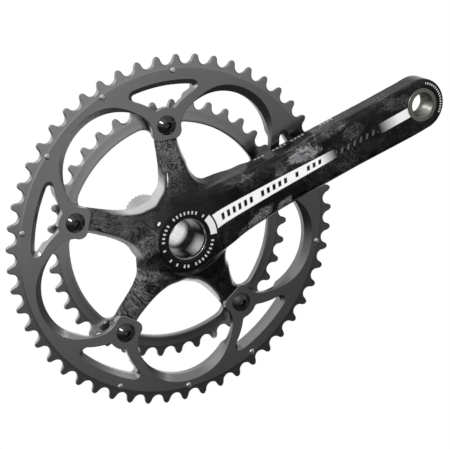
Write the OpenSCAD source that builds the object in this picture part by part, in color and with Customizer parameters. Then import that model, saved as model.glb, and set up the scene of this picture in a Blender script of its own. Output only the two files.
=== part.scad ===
// Drive-side bicycle crankset: crank arm and spider in one carbon piece, two chainrings,
// half axle with a face-toothed end, and the outboard bearing that it turns in.
//
// Frame: +X forwards, +Z up, the axle along Y with the chain side towards -Y.
// The origin is on the axle's axis, in the middle plane of the bicycle.
// Each sub-part is drawn with the axle along Z and Z = distance outboard of that plane.

/* [Crank arm] */
// Axle axis to pedal axis
crank_length = 172.5; // [165:2.5:180]
// Rest angle of the arm above horizontal
rest_angle = 23.1; // [0:0.1:90]
// Half width of the arm at the pedal
arm_half_w = 16.3; // [15:0.1:18]
// Outboard face of the arm at the pedal, from the middle plane
pedal_face = 73; // [72:0.1:74]
// Thickness of the arm at the pedal
pedal_boss_t = 13.7; // [12:0.1:14.5]

/* [Spider] */
// Radius of the chainring bolt circle
bolt_circle_r = 67.5; // [67:0.1:68]
// Outboard face of the hub, from the middle plane
hub_face = 63; // [62:0.1:64]
// Half width of a spider arm at its waist
spider_waist = 7.3; // [6.9:0.1:7.7]
// Sideways offset of a spider arm from the line to its bolt
spider_sweep = 1.2; // [0:0.1:1.5]
// Inboard face of the spider's bolt pads
pad_back = 41.5; // [41.3:0.1:41.6]
// Thickness of the bolt pads
pad_t = 3.6; // [3.4:0.1:3.7]

/* [Chainrings] */
// Teeth on the big chainring
big_teeth = 53; // [52:1:53]
// Teeth on the small chainring
small_teeth = 39; // [39:1:40]
// Pitch of the chain
chain_pitch = 12.7; // [12.7]
// Plane of the big chainring's teeth
big_plane = 47; // [46.8:0.1:47.2]
// Plane of the small chainring's teeth
small_plane = 39.8; // [39.7:0.1:39.9]
// Thickness of the tooth blades
blade_t = 2.1; // [1.8:0.1:2.2]
// Radius of the five round openings in the big chainring
lobe_r = 34.6; // [34:0.1:35]
// Distance of those openings' centres from the axis
lobe_at = 57.5; // [57:0.1:58]
// Wall between a round opening and the window beside it
leg_w = 6.6; // [6:0.1:7]

/* [Axle and bearing] */
// Outer radius of the axle at the bearing
axle_r = 12.5; // [12.5]
// Radius of the axle's bore that the fixing bolt's key goes through
axle_bore_r = 10.6; // [10.5:0.1:10.8]
// Teeth in the axle's end face
face_teeth = 30; // [24:2:36]
// Outer radius of the bearing
bearing_r = 18.5; // [18.5]
// Width of the bearing
bearing_w = 7; // [7]
// Balls in the bearing
ball_count = 18; // [14:1:18]
// Radius of a ball
ball_r = 1.985; // [1.9:0.005:1.985]

/* [Hidden] */
$fn = 96;

spider_arms = 5;
arm_step = 360 / spider_arms;
carbon = [0.10, 0.10, 0.11];
anodised = [0.36, 0.36, 0.37];
black_steel = [0.07, 0.07, 0.08];
steel = [0.75, 0.75, 0.77];

// Stack of the chainring joint, from inboard to outboard
pad_front = pad_back + pad_t;
big_front = pad_front + 3.3;
small_back = pad_back - 3.2;
bolt_hole_r = 5;
tab_r = 9.5;
tab_end = 9.1;
tab_corner_r = 5;
tab_gap = 0.5;
small_tab_r = 9;
nut_bore_r = 4;
head_r = 6;
head_edge_t = 0.9;
head_top_r = 4.6;
head_dome_t = 1;
hex_r = 2.9;
hex_depth = 1.2;
nut_flange_r = 6.4;
nut_flange_t = 1.5;
nut_slot_w = 2;
nut_slot_depth = 0.8;
inner_head_t = 2.6;
inner_hex_depth = 3;
spacer_r = 8.5;

// Hub and sleeve
hub_back = 46.2;
hub_bore_r = 14;
lip_bore_r = 12.9;
lip_t = 2;
// Half width of a spider arm along it, between its root and its waist
spider_half = [[0, 15], [25, 13.6], [30, 11.6], [36, 9.6], [44, 8.1]];
waist_from = 54;
waist_to = 60;
pad_r = 8.5;
// Curve of the valley between two spider arms and its centre, and the same beside the crank arm
valley_r = 20.55;
valley_at = [41.45, 28.05];
arm_valley_r = 13.4;
arm_valley_at = [36.5, 32.6];
arm_valley_end = [22.4, 49.5];

// Arm joint of the hidden fifth bolt
arm_back_step = big_front + 0.5;
insert_r = 5.5;
insert_depth = 8.6;

// Pedal insert
pedal_back = pedal_face - pedal_boss_t;
pedal_thread_r = 7.14;
pedal_insert_r = 9.4;
pedal_flange_r = 10.6;
pedal_flange_t = 0.8;

// Chainring blanks and teeth
roller_seat_r = 4.05;
roller_seat_angle = 62;
tooth_height = 1.8;
tip_half_w = 0.55;
tip_flare = 0.6;
big_rim_r = 101.8;
big_inner_r = 62;
window_r = 91;
window_bolt_r = 10.8;
rib_outer_r = 96;
rib_inner_r = 84;
rib_depth = 3.4;
small_rim_r = 73.6;
small_inner_r = 67;
big_tooth_phase = -1.5;
small_tooth_phase = 1.35;
small_rim_step = 0.3;
shift_pin_r = 1.5;
shift_pin_at = 99.8;
shift_pin_angles = [67.8, 95, 122.2, 149.4, 224, 251.2, 278.4, 326.3];
shift_pin_rivet_r = 1.9;
shift_pin_rivet_t = 0.5;
shift_pin_head_r = 2.6;
shift_pin_head_t = 1.8;
catch_pin_at = 97;
catch_pin_r = 2;
catch_pin_head_r = 2.8;
catch_pin_head_t = 2.6;

// Axle and bearing places
bearing_back = 38.5;
bearing_mid = bearing_back + bearing_w / 2;
bearing_front = bearing_back + bearing_w;
ball_at = (axle_r + bearing_r) / 2;
groove_r = ball_r + 0.045;
race_t = 1.8;
seal_t = 0.5;
seal_inset = 0.1;
seal_gap = 0.05;
cage_half_w = 2.5;
cage_t = 1.8;
pocket_r = ball_r + 0.07;
shoulder_from = 8;
shoulder_to = 14;
shoulder_bore_r = 6.3;
face_bore_r = 8.5;
face_tooth_h = 2;
bolt_shank_r = 6;
bolt_head_r = 9.6;
bolt_head_t = 9;
bolt_key_r = 5.8;
bolt_key_floor = 2;
bolt_reach = 12;
shaft_relief = 0.3;
axle_flange_r = 15.5;
washer_t = 0.8;
pocket_bore_r = 10.2;
pocket_top = shoulder_to + washer_t + bolt_head_t;

function pitch_r(teeth) = chain_pitch / (2 * sin(180 / teeth));

// Turns a sub-part drawn with the axle along Z into the bicycle's frame, arm at rest
module on_crank() rotate([90, 0, 0]) rotate([0, 0, rest_angle]) children();

// The same without the arm's angle, for what is round about the axle
module on_axle() rotate([90, 0, 0]) children();

module at_bolt(k) rotate([0, 0, k * arm_step]) translate([bolt_circle_r, 0, 0]) children();

module slab(from, to) translate([0, 0, from]) linear_extrude(height = to - from) children();

module cylinder_between(r, from, to, sides = 48)
    translate([0, 0, from]) cylinder(r = r, h = to - from, $fn = sides);

module tube(outer, inner, from, to) slab(from, to) difference() {
    circle(r = outer);
    circle(r = inner);
}

// ---- Carbon arm and spider ----

// One spider arm, wide at the hub and the pad, narrow at its waist
module spider_arm_plan() {
    half = concat(spider_half, [[waist_from, spider_waist], [waist_to, spider_waist]]);
    polygon(concat(
        [for (p = half) [p.x, p.y - spider_sweep]],
        [[bolt_circle_r, pad_r], [bolt_circle_r, -pad_r]],
        [for (i = [len(half) - 1:-1:0]) [half[i].x, -half[i].y - spider_sweep]]
    ));
    translate([bolt_circle_r, 0]) circle(r = pad_r);
}

// Fills between the x axis and the next spider arm, out to a round curve
module valley(centre, r) difference() {
    polygon([[0, 0], centre - [0, r], centre + r * [-sin(arm_step), cos(arm_step)]]);
    translate(centre) circle(r = r, $fn = 128);
}

module arm_valley() {
    valley(arm_valley_at, arm_valley_r);
    polygon([[0, 0], arm_valley_at + arm_valley_r * [-sin(arm_step), cos(arm_step)], arm_valley_end]);
}

module spider_plan() {
    for (k = [0:spider_arms - 1]) rotate(k * arm_step) {
        spider_arm_plan();
        valley(valley_at, valley_r);
    }
    arm_valley();
    mirror([0, 1]) arm_valley();
}

// Turned profile that the spider is cut from: a dome whose rim drops inboard to the bolt pads
module spider_profile() rotate_extrude() polygon([
    [0, hub_back], [20, hub_back], [24, pad_back + 7.6], [33, pad_back + 7], [48, pad_back + 2.4],
    [56, pad_back], [90, pad_back], [90, pad_front + 2], [57, pad_front + 3.5], [50, pad_front + 5.5],
    [40, pad_front + 8.2], [30, pad_front + 12], [22, hub_face - 1.6], [19.5, hub_face], [0, hub_face]
]);

// A big chainring tab about its bolt, blunt towards the axle, with room to spare all round
module tab_plan(spare) {
    r = tab_corner_r + spare;
    corner = [tab_corner_r - tab_end, tab_r - tab_corner_r];
    circle(r = tab_r + spare);
    translate([corner.x - r, -corner.y]) square([r - corner.x, 2 * corner.y]);
    translate([corner.x, -corner.y - r]) square([-corner.x, 2 * (corner.y + r)]);
    for (side = [-1, 1]) translate([corner.x, side * corner.y]) circle(r = r);
}

module arm_plan() {
    half = [[0, 19.5], [25, 20.4], [40, 18.2], [60, 16.9], [80, arm_half_w], [crank_length, arm_half_w]];
    polygon(concat(half, [for (i = [len(half) - 1:-1:0]) [half[i].x, -half[i].y]]));
    translate([crank_length, 0]) circle(r = arm_half_w);
}

// Side view of the arm: along the arm, then outboard
module arm_side() polygon([
    [0, hub_back], [57, hub_back], [57, arm_back_step], [80, arm_back_step + 0.8],
    [100, arm_back_step + 3.4], [140, pedal_back - 2.2], [crank_length - 6, pedal_back],
    [crank_length + 20, pedal_back], [crank_length + 20, pedal_face], [crank_length - 6, pedal_face],
    [150, pedal_face - 1.2], [100, pedal_face - 5.1], [60, hub_face + 1.2], [35, hub_face - 0.3], [0, hub_face]
]);

module carbon_arm() color(carbon) on_crank() difference() {
    union() {
        intersection() {
            slab(pad_back - 1, hub_face + 1) spider_plan();
            spider_profile();
        }
        intersection() {
            slab(hub_back - 1, pedal_face + 1) arm_plan();
            translate([0, 30, 0]) rotate([90, 0, 0]) linear_extrude(height = 60) arm_side();
        }
    }
    slab(hub_back - 2, hub_face - lip_t) circle(r = hub_bore_r);
    slab(hub_back, hub_face + 2) circle(r = lip_bore_r);
    for (k = [1:spider_arms - 1]) {
        at_bolt(k) slab(pad_front, hub_face) tab_plan(tab_gap);
        at_bolt(k) slab(pad_back - 1, pad_front + 1) circle(r = bolt_hole_r);
    }
    at_bolt(0) slab(pad_back - 1, arm_back_step) tab_plan(tab_gap);
    at_bolt(0) slab(arm_back_step - 1, big_front + insert_depth) circle(r = insert_r);
    translate([crank_length, 0, 0]) {
        slab(pedal_back - 1, pedal_face + 1) circle(r = pedal_insert_r);
        slab(pedal_face - pedal_flange_t, pedal_face + 1) circle(r = pedal_flange_r);
    }
}

module hub_sleeve() color(steel) on_axle() {
    tube(hub_bore_r, axle_r, hub_back, hub_face - lip_t);
    tube(lip_bore_r, axle_r - 0.3, hub_face - lip_t, hub_face + 0.2);
}

module pedal_insert() color([0.48, 0.48, 0.44]) on_crank() translate([crank_length, 0, 0]) {
    tube(pedal_insert_r, pedal_thread_r, pedal_back, pedal_face - pedal_flange_t);
    tube(pedal_flange_r, pedal_thread_r, pedal_face - pedal_flange_t, pedal_face + 0.1);
}

module arm_thread_insert() color(steel) on_crank() at_bolt(0)
    tube(insert_r, nut_bore_r, big_front, big_front + insert_depth);

// ---- Chainrings ----

// Outline of a toothed blade: a disc at the tooth tips, less a roller seat and its flare per gap
module toothed_plan(teeth, phase) {
    pitch = pitch_r(teeth);
    tip = pitch + tooth_height;
    half_gap = chain_pitch / 2 - tip_half_w + tip_flare;
    seat_x = pitch - roller_seat_r * cos(roller_seat_angle);
    seat_y = roller_seat_r * sin(roller_seat_angle);
    difference() {
        circle(r = tip, $fn = 180);
        for (k = [0:teeth - 1]) rotate(phase + (k + 0.5) * 360 / teeth) {
            translate([pitch, 0]) circle(r = roller_seat_r, $fn = 32);
            polygon([
                [seat_x, -seat_y], [tip + 1, -half_gap], [tip + 1, half_gap], [seat_x, seat_y]
            ]);
        }
    }
}

module lobes(r) for (k = [0:spider_arms - 1])
    rotate((k + 0.5) * arm_step) translate([lobe_at, 0]) circle(r = r, $fn = 128);

module at_tabs() for (k = [0:spider_arms - 1]) rotate(k * arm_step) translate([bolt_circle_r, 0]) children();

module tab_discs(r) at_tabs() circle(r = r);

// The five windows that make each tab a Y
module windows() difference() {
    circle(r = window_r);
    circle(r = bolt_circle_r);
    lobes(lobe_r + leg_w);
    tab_discs(window_bolt_r);
}

module big_openings() {
    circle(r = big_inner_r);
    lobes(lobe_r);
    windows();
}

module pin_holes() for (a = shift_pin_angles)
    rotate(a) translate([shift_pin_at, 0]) circle(r = shift_pin_r, $fn = 24);

module big_chainring() color(anodised) on_crank() difference() {
    union() {
        slab(big_plane - blade_t / 2, big_plane + blade_t / 2) difference() {
            toothed_plan(big_teeth, big_tooth_phase);
            big_openings();
        }
        slab(pad_front, big_front) {
            difference() {
                circle(r = big_rim_r, $fn = 180);
                big_openings();
            }
            at_tabs() tab_plan(0);
        }
        slab(pad_front - rib_depth, pad_front + 0.5) difference() {
            circle(r = rib_outer_r);
            circle(r = rib_inner_r);
            big_openings();
        }
    }
    slab(pad_front - 1, big_front + 1) {
        tab_discs(bolt_hole_r);
        pin_holes();
        translate([catch_pin_at, 0]) circle(r = catch_pin_r, $fn = 24);
    }
}

module small_chainring() color(anodised) on_crank() difference() {
    union() {
        slab(small_plane - blade_t / 2, small_plane + blade_t / 2) difference() {
            toothed_plan(small_teeth, small_tooth_phase);
            circle(r = small_inner_r);
        }
        slab(small_back, pad_back - small_rim_step) difference() {
            circle(r = small_rim_r, $fn = 180);
            circle(r = small_inner_r);
        }
        slab(small_back, pad_back) tab_discs(small_tab_r);
    }
    slab(small_back - 1, pad_back + 1) tab_discs(bolt_hole_r);
}

module shift_pins() color(steel) on_crank() for (a = shift_pin_angles)
    rotate([0, 0, a]) translate([shift_pin_at, 0, 0]) {
        cylinder_between(shift_pin_head_r, pad_front - shift_pin_head_t, pad_front, 32);
        cylinder_between(shift_pin_r, pad_front, big_front, 24);
        cylinder_between(shift_pin_rivet_r, big_front, big_front + shift_pin_rivet_t, 24);
    }

module chain_catch_pin() color(steel) on_crank() translate([catch_pin_at, 0, 0]) {
    cylinder_between(catch_pin_r, pad_front, big_front, 24);
    cylinder_between(catch_pin_head_r, big_front, big_front + catch_pin_head_t, 32);
}

// ---- Chainring fasteners ----

// A domed head with a hexagon socket, and a shank screwed into a nut or insert
module chainring_bolt(k) color(black_steel) on_crank() at_bolt(k) difference() {
    union() {
        cylinder_between(head_r, big_front, big_front + head_edge_t);
        translate([0, 0, big_front + head_edge_t]) cylinder(r1 = head_r, r2 = head_top_r, h = head_dome_t);
        cylinder_between(nut_bore_r, pad_back - 1, big_front);
    }
    cylinder_between(hex_r, big_front - hex_depth, big_front + 2 * head_dome_t + head_edge_t, 6);
}

module chainring_nut(k) color(black_steel) on_crank() at_bolt(k) difference() {
    union() {
        cylinder_between(nut_flange_r, small_back - nut_flange_t, small_back);
        cylinder_between(bolt_hole_r, small_back, big_front - 1);
    }
    cylinder_between(nut_bore_r, small_back - 2 * nut_flange_t, big_front);
    slab(small_back - 2 * nut_flange_t, small_back - nut_flange_t + nut_slot_depth)
        square([3 * nut_flange_r, nut_slot_w], center = true);
}

module arm_chainring_bolt() color(black_steel) on_crank() at_bolt(0) difference() {
    union() {
        cylinder_between(nut_flange_r, small_back - inner_head_t, small_back);
        cylinder_between(bolt_hole_r, small_back, big_front);
        cylinder_between(nut_bore_r, big_front, big_front + insert_depth - 1);
    }
    cylinder_between(hex_r, small_back - inner_head_t - 1, small_back - inner_head_t + inner_hex_depth, 6);
}

module chainring_spacer() color(black_steel) on_crank() at_bolt(0)
    tube(spacer_r, bolt_hole_r, pad_back, pad_front);

// ---- Axle ----

module half_axle() color(steel) on_axle() difference() {
    rotate_extrude() polygon([
        [face_bore_r, -face_tooth_h / 2], [axle_r, -face_tooth_h / 2], [axle_r, 4], [axle_r - shaft_relief, 5],
        [axle_r - shaft_relief, bearing_back - 1], [axle_r, bearing_back], [axle_r, bearing_front],
        [axle_flange_r, bearing_front], [axle_flange_r, hub_back], [axle_r, hub_back], [axle_r, hub_face - lip_t],
        [axle_bore_r, hub_face - lip_t], [axle_bore_r, pocket_top], [pocket_bore_r, pocket_top],
        [pocket_bore_r, shoulder_to], [shoulder_bore_r, shoulder_to],
        [shoulder_bore_r, shoulder_from], [face_bore_r, shoulder_from]
    ]);
    for (k = [0:face_teeth - 1]) rotate([0, 0, k * 360 / face_teeth]) face_groove();
}

// One radial V groove between two face teeth
module face_groove() {
    half = PI * axle_r / face_teeth + 0.2;
    foot = -face_tooth_h / 2 - 0.5;
    translate([face_bore_r - 1, 0, 0]) rotate([90, 0, 90]) linear_extrude(height = axle_r - face_bore_r + 2)
        polygon([[-half, foot], [half, foot], [0, face_tooth_h / 2]]);
}

module fixing_bolt() color(black_steel) on_axle() difference() {
    union() {
        cylinder_between(bolt_head_r, shoulder_to + washer_t, pocket_top);
        cylinder_between(bolt_shank_r, -bolt_reach, shoulder_to + washer_t);
    }
    cylinder_between(bolt_key_r, shoulder_to + washer_t + bolt_key_floor, pocket_top + 1, 6);
}

module fixing_bolt_washer() color(steel) on_axle()
    tube(bolt_head_r + 0.2, bolt_shank_r, shoulder_to, shoulder_to + washer_t);

// ---- Bearing ----

module race(inner, outer) rotate_extrude() difference() {
    translate([inner, bearing_back]) square([outer - inner, bearing_w]);
    translate([ball_at, bearing_mid]) circle(r = groove_r);
}

module bearing_inner_race() color(steel) on_axle() race(axle_r, axle_r + race_t);

module bearing_outer_race() color(steel) on_axle() race(bearing_r - race_t, bearing_r);

module bearing_balls() color(steel) on_axle() for (k = [0:ball_count - 1])
    rotate([0, 0, k * 360 / ball_count]) translate([ball_at, 0, bearing_mid]) sphere(r = ball_r, $fn = 32);

module bearing_cage() color([0.85, 0.80, 0.65]) on_axle() difference() {
    tube(ball_at + cage_t / 2, ball_at - cage_t / 2, bearing_mid - cage_half_w, bearing_mid + cage_half_w);
    for (k = [0:ball_count - 1]) rotate([0, 0, k * 360 / ball_count])
        translate([ball_at - cage_t, 0, bearing_mid]) rotate([0, 90, 0]) cylinder(r = pocket_r, h = 2 * cage_t);
}

module bearing_seal(from)
    tube(bearing_r - race_t, axle_r + race_t + seal_gap, from, from + seal_t);

module bearing_seal_outboard() color(black_steel) on_axle() bearing_seal(bearing_front - seal_inset - seal_t);

module bearing_seal_inboard() color(black_steel) on_axle() bearing_seal(bearing_back + seal_inset);

carbon_arm();
hub_sleeve();
pedal_insert();
arm_thread_insert();
big_chainring();
small_chainring();
shift_pins();
chain_catch_pin();
chainring_bolt(1);  // chainring_bolt_1
chainring_bolt(2);  // chainring_bolt_2
chainring_bolt(3);  // chainring_bolt_3
chainring_bolt(4);  // chainring_bolt_4
chainring_nut(1);  // chainring_nut_1
chainring_nut(2);  // chainring_nut_2
chainring_nut(3);  // chainring_nut_3
chainring_nut(4);  // chainring_nut_4
arm_chainring_bolt();
chainring_spacer();
half_axle();
fixing_bolt();
fixing_bolt_washer();
bearing_inner_race();
bearing_outer_race();
bearing_balls();
bearing_cage();
bearing_seal_outboard();
bearing_seal_inboard();
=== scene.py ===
"""Looks of a drive-side bicycle crankset: a carbon arm with its spider, and two chainrings.

Pieces are drawn in the arm's frame, in millimetres: x along the arm from the axle, y across it,
and w outboard from the middle plane of the bicycle. TO_ROW turns that frame into the row's.
"""

import math

import bmesh
import bpy
import numpy as np
from mathutils import Matrix, Vector


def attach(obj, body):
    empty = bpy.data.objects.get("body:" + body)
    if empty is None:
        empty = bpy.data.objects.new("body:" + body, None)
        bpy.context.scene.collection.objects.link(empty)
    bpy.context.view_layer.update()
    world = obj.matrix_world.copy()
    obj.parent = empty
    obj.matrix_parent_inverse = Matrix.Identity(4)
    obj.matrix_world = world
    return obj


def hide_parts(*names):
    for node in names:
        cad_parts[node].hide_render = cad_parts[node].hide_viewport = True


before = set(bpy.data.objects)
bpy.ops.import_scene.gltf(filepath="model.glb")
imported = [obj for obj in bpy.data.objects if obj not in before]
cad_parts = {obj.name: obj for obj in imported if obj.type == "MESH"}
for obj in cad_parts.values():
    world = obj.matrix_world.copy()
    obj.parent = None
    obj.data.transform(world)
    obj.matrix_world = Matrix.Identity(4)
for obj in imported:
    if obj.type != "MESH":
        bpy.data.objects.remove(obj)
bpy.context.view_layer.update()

REST_ANGLE = 23.1
TO_ROW = Matrix.Rotation(math.radians(90), 4, "X") @ Matrix.Rotation(math.radians(REST_ANGLE), 4, "Z")
CRANK_LENGTH = 172.5
BOLT_CIRCLE = 67.5
STEP = math.radians(72)
# Centre of the lobe beside the bolt on the x axis
LOBE = 57.5 * np.array([math.cos(STEP / 2), math.sin(STEP / 2)])
LOBE_R = 34.6
CHAIN_PITCH = 12.7
BIG_TEETH, BIG_PHASE, BIG_MIDDLE, BIG_TIP_R = 53, -1.5, 47, 109
SMALL_TEETH, SMALL_PHASE, SMALL_MIDDLE, SMALL_TIP_R = 39, 1.35, 39.8, 80.7
BOLT_HOLE_R = 5.02
PIN_AT = 99.8
CATCH_PIN_AT = 97
BALL_AT, BEARING_MIDDLE, GROOVE_R = 15.5, 42, 2.03
TAB_END = 9.1  # a tab's blunt end, inwards from its bolt
TAB_CORNER = 5


# ---- Shader graphs ----

class Value:
    """A shader socket that adds and multiplies like a number"""

    def __init__(self, shader, socket):
        self.shader, self.socket = shader, socket

    def __add__(self, other):
        return self.shader.math("ADD", self, other)

    def __sub__(self, other):
        return self.shader.math("SUBTRACT", self, other)

    def __rsub__(self, other):
        return self.shader.math("SUBTRACT", other, self)

    def __mul__(self, other):
        return self.shader.math("MULTIPLY", self, other)

    def __truediv__(self, other):
        return self.shader.math("DIVIDE", self, other)

    def floor(self):
        return self.shader.math("FLOOR", self)

    def abs(self):
        return self.shader.math("ABSOLUTE", self)

    def wrap(self, size):
        return self.shader.math("FLOORED_MODULO", self, size)

    def maximum(self, other):
        return self.shader.math("MAXIMUM", self, other)

    def rise(self, start, end):
        """0 up to start, 1 from end on"""
        node = self.shader.add("MapRange", {0: self, 1: start, 2: end, 3: 0.0, 4: 1.0})
        return Value(self.shader, node.outputs[0])

    def inside(self, low, high, soft=0.15):
        return self.rise(low - soft, low + soft) * (1 - self.rise(high - soft, high + soft))

    __radd__, __rmul__ = __add__, __mul__


class Shader:
    """A Principled material and the nodes that feed it. Coordinates are in millimetres."""

    def __init__(self, name, **settings):
        self.material = bpy.data.materials.new(name)
        self.material.use_nodes = True
        self.tree = self.material.node_tree
        self.surface = self.tree.nodes["Principled BSDF"]
        for key, value in settings.items():
            self.surface.inputs[key.replace("_", " ")].default_value = value
        place = self.add("TexCoord").outputs
        self.facing = place["Normal"]
        self.object = self.add("VectorRotate", {
            "Vector": place["Object"], "Center": (0, 0, 0),
            "Rotation": (math.radians(-90), 0, math.radians(-REST_ANGLE))}, rotation_type="EULER_XYZ").outputs[0]

    def add(self, kind, inputs=None, **settings):
        node = self.tree.nodes.new("ShaderNode" + kind)
        for key, value in settings.items():
            setattr(node, key, value)
        for key, value in (inputs or {}).items():
            self.feed(node.inputs[key], value)
        return node

    def feed(self, socket, value):
        if isinstance(value, Value):
            value = value.socket
        if isinstance(value, bpy.types.NodeSocket):
            self.tree.links.new(value, socket)
        else:
            socket.default_value = value

    def math(self, operation, *values):
        node = self.add("Math", dict(enumerate(values)), operation=operation)
        return Value(self, node.outputs[0])

    def place(self, scale=(1, 1, 1), turn=0.0, source=None):
        """Object coordinates in millimetres, turned about w and then scaled"""
        vector = self.add("VectorRotate", {
            "Vector": source or self.object, "Angle": turn, "Center": (0, 0, 0), "Axis": (0, 0, 1)}).outputs[0]
        return self.add("VectorMath", {0: vector, 1: [1000 * s for s in scale]}, operation="MULTIPLY").outputs[0]

    def axes(self):
        node = self.add("SeparateXYZ", {0: self.place()})
        return [Value(self, output) for output in node.outputs]

    def polar(self):
        x, y, w = self.axes()
        r = self.math("SQRT", x * x + y * y)
        return r, self.math("ARCTAN2", y, x), w

    def combine(self, x, y, z):
        return self.add("CombineXYZ", {0: x, 1: y, 2: z}).outputs[0]

    def noise(self, vector, scale, detail=3.0, rough=0.5, distort=0.0):
        node = self.add("TexNoise", {
            "Vector": vector, "Scale": scale, "Detail": detail, "Roughness": rough, "Distortion": distort})
        return Value(self, node.outputs[0])

    def hash(self, value):
        """A steady random number for each whole value"""
        node = self.add("TexWhiteNoise", {"W": value}, noise_dimensions="1D")
        return Value(self, node.outputs[0])

    def colour(self, share, *stops):
        node = self.add("ValToRGB", {0: share})
        ramp = node.color_ramp
        while len(ramp.elements) < len(stops):
            ramp.elements.new(0.5)
        for element, (at, grey) in zip(ramp.elements, stops):
            element.position = at
            element.color = (*(grey if isinstance(grey, tuple) else (grey,) * 3), 1)
        return node.outputs[0]

    def mix(self, share, first, second):
        node = self.add("Mix", {0: share, 6: first, 7: second}, data_type="RGBA")
        return node.outputs[2]

    def base(self, colour):
        self.feed(self.surface.inputs["Base Color"], colour)

    def roughness(self, value):
        self.feed(self.surface.inputs["Roughness"], value)

    def bump(self, height, distance, strength=1.0):
        """Height in 0 to 1, distance in millimetres"""
        node = self.add("Bump", {"Height": height, "Distance": distance / 1000, "Strength": strength})
        self.feed(self.surface.inputs["Normal"], node.outputs[0])


def grey(value):
    return (value, value, value, 1)


def metal(name, tone, rough, grain=0.05, turned=0.0):
    """Bare or anodised metal with a cloudy tone, fine grain and, if turned, rings round the axle"""
    shader = Shader(name, Metallic=1.0)
    cloud = shader.noise(shader.place(), 0.05, 3, 0.6)
    fine = shader.noise(shader.place(), 1.6, 4, 0.7)
    value = cloud * 0.6 + fine * 0.4
    if turned:
        r, _, w = shader.polar()
        lines = shader.noise(shader.combine(r, w, 0.0), 4.0, 2, 0.8)
        value = value * (1 - turned) + lines * turned
    low, high = (tuple(min(1.0, c * (1 + side * grain * 4)) for c in tone) for side in (-1, 1))
    shader.base(shader.colour(value, (0.3, low), (0.7, high)))
    shader.roughness(value.rise(0.25, 0.75) * (rough * 0.4) + rough * 0.8)
    shader.bump(value, 0.02, 0.25)
    return shader.material


def axle_steel():
    """Turned steel. The bore's wall is painted dark, and its light patches are painted highlights that also glow by
    emission, inside the bore only.
    """
    shader = Shader("turned_steel", Metallic=1.0)
    r, angle, w = shader.polar()
    fine = shader.noise(shader.place(), 1.5, 3, 0.6)
    rays = shader.noise(shader.combine(angle * 9, w * 0.05, 0.0), 1.0, 3, 0.7)
    bore = 1 - r.rise(11.4, 11.5) * (1 - w.rise(46, 47))
    turned = angle * (180 / math.pi)
    # Painted highlights: a bright lobe deep in the bore and a patch near its mouth. The rest of the bore is painted
    # dark.
    painted_deep_lobe = (1 - w.rise(37, 43)) * turned.inside(-98, -22, 16)
    painted_mouth_glint = turned.inside(-82, -34, 14) * w.rise(50, 56)
    level = (rays * 0.25 + 0.12) * (1 - painted_deep_lobe) + (rays * 0.3 + 0.7) * painted_deep_lobe + painted_mouth_glint * 0.6
    outside = fine * 0.2 + 0.5
    value = level * bore + outside * (1 - bore)
    shader.base(shader.combine(value, value, value * 0.99))
    # The painted highlights glow by emission.
    painted_glow = (painted_deep_lobe * 0.75 + painted_mouth_glint * 0.4) * (rays * 0.5 + 0.6) * bore * w.rise(24, 26)
    shader.feed(shader.surface.inputs["Emission Color"], shader.combine(painted_glow, painted_glow, painted_glow))
    shader.surface.inputs["Emission Strength"].default_value = 1.0
    shader.roughness(fine * 0.12 + 0.22)
    shader.bump(rays, 0.03, 0.3)
    return shader.material


def gloss_black():
    """Black plated steel with a mirror finish and fine speckle"""
    shader = Shader("gloss_black", Coat_Weight=1.0, Coat_Roughness=0.04, Coat_IOR=1.75, Specular_IOR_Level=0.1)
    fine = shader.noise(shader.place(), 2.2, 4, 0.7)
    shader.base(shader.colour(fine, (0.35, 0.0015), (0.8, 0.012)))
    shader.roughness(fine * 0.3 + 0.3)
    shader.bump(fine, 0.03, 0.3)
    return shader.material


def rubber(name, tone):
    shader = Shader(name)
    fine = shader.noise(shader.place(), 3.0, 4, 0.7)
    shader.base(shader.colour(fine, (0.3, tone * 0.7), (0.7, tone * 1.3)))
    shader.roughness(fine * 0.3 + 0.45)
    shader.bump(fine, 0.05, 0.3)
    return shader.material


def ring_metal():
    """Dark anodised alloy. Its tone holds painted light and shade: lighter towards one side and darker towards the
    other, turning with the crank, and a tenth lighter inboard of w 42, on the small ring.
    """
    shader = Shader("ring_metal", Metallic=1.0)
    r, angle, w = shader.polar()
    cloud = shader.noise(shader.place(), 0.03, 3, 0.6)
    fine = shader.noise(shader.place(), 1.3, 4, 0.75)
    lines = shader.noise(shader.combine(r, 0.0, 0.0), 3.0, 2, 0.8)
    value = cloud * 0.5 + fine * 0.3 + lines * 0.2
    tone = shader.colour(value, (0.3, (0.33, 0.332, 0.34)), (0.7, (0.43, 0.432, 0.44)))
    x, y, _ = shader.axes()
    # Painted light and shade: up to 40% lighter towards one side and 40% darker opposite, plus a tenth lighter
    # inboard of w 42.
    side = ((y * 0.5 - x * 0.866) / r * 0.4 + 1.0) * (1.1 - w.rise(42, 44) * 0.1)
    shade = shader.combine(side, side, side)
    shader.base(shader.add("VectorMath", {0: tone, 1: shade}, operation="MULTIPLY").outputs[0])
    shader.roughness(value * 0.12 + 0.17)
    shader.bump(fine, 0.02, 0.12)
    return shader.material


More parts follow.
